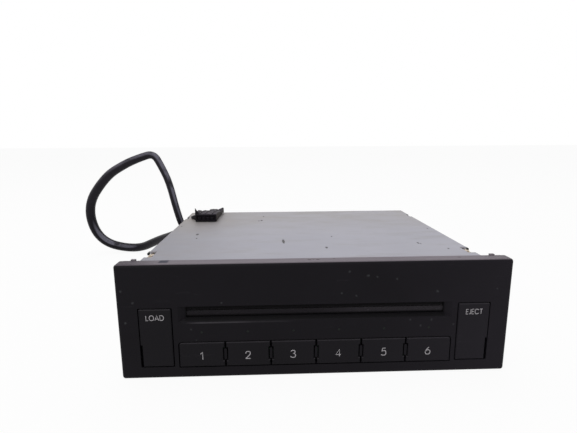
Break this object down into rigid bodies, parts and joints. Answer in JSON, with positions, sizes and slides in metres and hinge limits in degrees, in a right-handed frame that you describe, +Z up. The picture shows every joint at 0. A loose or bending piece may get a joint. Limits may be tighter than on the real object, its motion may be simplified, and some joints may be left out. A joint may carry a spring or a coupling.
{
  "type": "dashboard disc changer",
  "caption": "Flat sheet-metal car disc changer with a black slot-loading fascia, numbered keys, load and eject buttons, a tray elevator and a swinging player inside, and a harness lead.",
  "frame": {"origin": "on the level of the fascia's lower edge, under the middle of the unit without its lead", "axes": "+Z up, the fascia faces -Y, +X to the right as seen from behind it facing the rear (viewer's right when looking at the fascia)"},
  "size_m": [0.3035, 0.2361, 0.1052],
  "materials": {
    "fascia_plastic": "satin black moulding, slightly worn",
    "key_plastic": "satin black with printed figures",
    "light_guide_acrylic": "clear acrylic",
    "felt": "dusty black felt",
    "circuit_board": "green solder mask",
    "switch_plastic": "black thermoplastic with metal shells",
    "plated_steel": "zinc-plated sheet steel",
    "bright_steel": "bright zinc-plated steel",
    "brass_plate": "yellow passivated",
    "socket_plastic": "black nylon",
    "lead_sheath": "black sheath",
    "connector_plastic": "black nylon",
    "damper_rubber": "soft rubber",
    "spring_steel": "wire",
    "gear_acetal": "natural acetal",
    "roller_rubber": "grey rubber",
    "black_acetal": "black acetal",
    "motor_steel": "drawn steel can",
    "tray_plastic": "dark grey ABS",
    "lens": "coated lens"
  },
  "bodies": {
    "unit": {"fascia": "fascia_plastic", "light_guides": "light_guide_acrylic", "slot_curtain": "felt", "front_circuit_board": "circuit_board", "tact_switches": "switch_plastic", "front_frame": "plated_steel", "lower_chassis": "plated_steel", "top_cover": "plated_steel", "rear_panel": "plated_steel", "case_screws": "bright_steel", "corner_brackets": "brass_plate", "rear_socket": "socket_plastic", "lead_plug": "socket_plastic", "harness_lead": "lead_sheath", "connector_wires": "lead_sheath", "harness_connector": "connector_plastic", "main_circuit_board": "circuit_board", "board_screws": "bright_steel", "deck_base": "plated_steel", "dampers": "damper_rubber", "suspension_springs": "spring_steel", "disc_guide": "black_acetal", "feed_motor": "motor_steel", "elevator_motor": "motor_steel"},
    "load_button": {"load_button": "key_plastic"},
    "eject_button": {"eject_button": "key_plastic"},
    "preset_key_1": {"preset_key_1": "key_plastic"},
    "preset_key_2": {"preset_key_2": "key_plastic"},
    "preset_key_3": {"preset_key_3": "key_plastic"},
    "preset_key_4": {"preset_key_4": "key_plastic"},
    "preset_key_5": {"preset_key_5": "key_plastic"},
    "preset_key_6": {"preset_key_6": "key_plastic"},
    "elevator_shaft": {"elevator_shaft": "bright_steel", "elevator_pinions": "gear_acetal", "elevator_gear": "gear_acetal"},
    "elevator_worm": {"elevator_worm": "gear_acetal"},
    "left_cam_slide": {"left_cam_slide": "plated_steel"},
    "right_cam_slide": {"right_cam_slide": "plated_steel"},
    "lower_trays": {"disc_tray_1": "tray_plastic", "disc_tray_2": "tray_plastic", "disc_tray_3": "tray_plastic"},
    "play_tray": {"disc_tray_4": "tray_plastic"},
    "upper_trays": {"disc_tray_5": "tray_plastic", "disc_tray_6": "tray_plastic"},
    "roller_bracket": {"roller_bracket": "plated_steel"},
    "feed_roller": {"roller_shaft": "bright_steel", "feed_roller": "roller_rubber", "roller_gear": "gear_acetal"},
    "feed_idler": {"feed_idler": "gear_acetal"},
    "feed_pinion": {"feed_pinion": "gear_acetal"},
    "traverse_arm": {"traverse_arm": "plated_steel", "spindle_motor": "motor_steel", "guide_rods": "bright_steel", "sled_motor": "motor_steel"},
    "turntable": {"turntable": "black_acetal"},
    "pickup_sled": {"pickup_sled": "black_acetal", "pickup_lens": "lens"},
    "lead_screw": {"lead_screw": "bright_steel"},
    "clamp_arm": {"clamp_arm": "plated_steel"},
    "disc_clamp": {"disc_clamp": "black_acetal"}
  },
  "joints": [
    {"name": "load_press", "type": "slide", "parent": "unit", "child": "load_button", "axis": [0, 1, 0], "range_m": [0, 0.0008], "stiffness_N_per_m": 1500, "springref_m": -0.0005},
    {"name": "eject_press", "type": "slide", "parent": "unit", "child": "eject_button", "axis": [0, 1, 0], "range_m": [0, 0.0008], "stiffness_N_per_m": 1500, "springref_m": -0.0005},
    {"name": "preset_press_1", "type": "slide", "parent": "unit", "child": "preset_key_1", "axis": [0, 1, 0], "range_m": [0, 0.0006], "stiffness_N_per_m": 1500, "springref_m": -0.0005},
    {"name": "preset_press_2", "type": "slide", "parent": "unit", "child": "preset_key_2", "axis": [0, 1, 0], "range_m": [0, 0.0006], "stiffness_N_per_m": 1500, "springref_m": -0.0005},
    {"name": "preset_press_3", "type": "slide", "parent": "unit", "child": "preset_key_3", "axis": [0, 1, 0], "range_m": [0, 0.0006], "stiffness_N_per_m": 1500, "springref_m": -0.0005},
    {"name": "preset_press_4", "type": "slide", "parent": "unit", "child": "preset_key_4", "axis": [0, 1, 0], "range_m": [0, 0.0006], "stiffness_N_per_m": 1500, "springref_m": -0.0005},
    {"name": "preset_press_5", "type": "slide", "parent": "unit", "child": "preset_key_5", "axis": [0, 1, 0], "range_m": [0, 0.0006], "stiffness_N_per_m": 1500, "springref_m": -0.0005},
    {"name": "preset_press_6", "type": "slide", "parent": "unit", "child": "preset_key_6", "axis": [0, 1, 0], "range_m": [0, 0.0006], "stiffness_N_per_m": 1500, "springref_m": -0.0005},
    {"name": "left_cam_travel", "type": "slide", "parent": "unit", "child": "left_cam_slide", "axis": [0, 1, 0], "range_m": [-0.012, 0]},
    {"name": "right_cam_travel", "type": "slide", "parent": "unit", "child": "right_cam_slide", "axis": [0, 1, 0], "range_m": [-0.01201, 0]},
    {"name": "elevator_turn", "type": "hinge", "parent": "unit", "child": "elevator_shaft", "pos_m": [0, -0.0473, 0.0127], "axis": [-1, 0, 0], "range_deg": [-143.3, 0]},
    {"name": "elevator_worm_spin", "type": "hinge", "parent": "unit", "child": "elevator_worm", "pos_m": [-0.073, -0.0473, 0.0201], "axis": [0, 1, 0], "range_deg": [0, 3439]},
    {"name": "lower_trays_lift", "type": "slide", "parent": "unit", "child": "lower_trays", "axis": [0, 0, 1], "range_m": [0, 0.00801]},
    {"name": "play_tray_lift", "type": "slide", "parent": "unit", "child": "play_tray", "axis": [0, 0, 1], "range_m": [0, 0.00101]},
    {"name": "upper_trays_lift", "type": "slide", "parent": "unit", "child": "upper_trays", "axis": [0, 0, 1], "range_m": [-0.00601, 0]},
    {"name": "roller_bracket_tilt", "type": "hinge", "parent": "unit", "child": "roller_bracket", "pos_m": [0, -0.0503, 0.0213], "axis": [1, 0, 0], "range_deg": [0, 12]},
    {"name": "roller_spin", "type": "hinge", "parent": "roller_bracket", "child": "feed_roller", "pos_m": [0, -0.0583, 0.0315], "axis": [1, 0, 0], "continuous": true},
    {"name": "feed_idler_spin", "type": "hinge", "parent": "unit", "child": "feed_idler", "pos_m": [0.0679, -0.0533, 0.0393], "axis": [1, 0, 0], "continuous": true},
    {"name": "feed_pinion_spin", "type": "hinge", "parent": "unit", "child": "feed_pinion", "pos_m": [0.0679, -0.04635, 0.0393], "axis": [1, 0, 0], "continuous": true},
    {"name": "traverse_swing", "type": "hinge", "parent": "unit", "child": "traverse_arm", "pos_m": [-0.073, -0.0573, 0.0261], "axis": [0, 0, -1], "range_deg": [0, 46.61]},
    {"name": "turntable_spin", "type": "hinge", "parent": "traverse_arm", "child": "turntable", "pos_m": [-0.073, 0.04315, 0.0313], "axis": [0, 0, 1], "continuous": true},
    {"name": "pickup_travel", "type": "slide", "parent": "traverse_arm", "child": "pickup_sled", "axis": [0, -1, 0], "range_m": [0, 0.033]},
    {"name": "lead_screw_spin", "type": "hinge", "parent": "traverse_arm", "child": "lead_screw", "pos_m": [-0.0758, 0.0017, 0.0298], "axis": [0, 1, 0], "range_deg": [0, 3961]},
    {"name": "clamp_close", "type": "hinge", "parent": "traverse_arm", "child": "clamp_arm", "pos_m": [-0.073, -0.0343, 0.0403], "axis": [-1, 0, 0], "range_deg": [0, 1.33]},
    {"name": "disc_clamp_spin", "type": "hinge", "parent": "clamp_arm", "child": "disc_clamp", "pos_m": [-0.073, 0.04315, 0.0378], "axis": [0, 0, 1], "continuous": true}
  ],
  "couplings": [
    {"joint": "right_cam_travel", "follows": "left_cam_travel", "ratio": 1},
    {"joint": "elevator_turn", "follows": "left_cam_travel", "rad_per_m": 208.33},
    {"joint": "elevator_worm_spin", "follows": "left_cam_travel", "rad_per_m": -5000},
    {"joint": "lower_trays_lift", "follows": "left_cam_travel", "ratio": -0.66667},
    {"joint": "play_tray_lift", "follows": "left_cam_travel", "ratio": -0.083333},
    {"joint": "upper_trays_lift", "follows": "left_cam_travel", "ratio": 0.5},
    {"joint": "feed_idler_spin", "follows": "roller_spin", "ratio": -1},
    {"joint": "feed_pinion_spin", "follows": "roller_spin", "ratio": 2},
    {"joint": "disc_clamp_spin", "follows": "turntable_spin", "ratio": 1},
    {"joint": "lead_screw_spin", "follows": "pickup_travel", "rad_per_m": 2094.4}
  ]
}
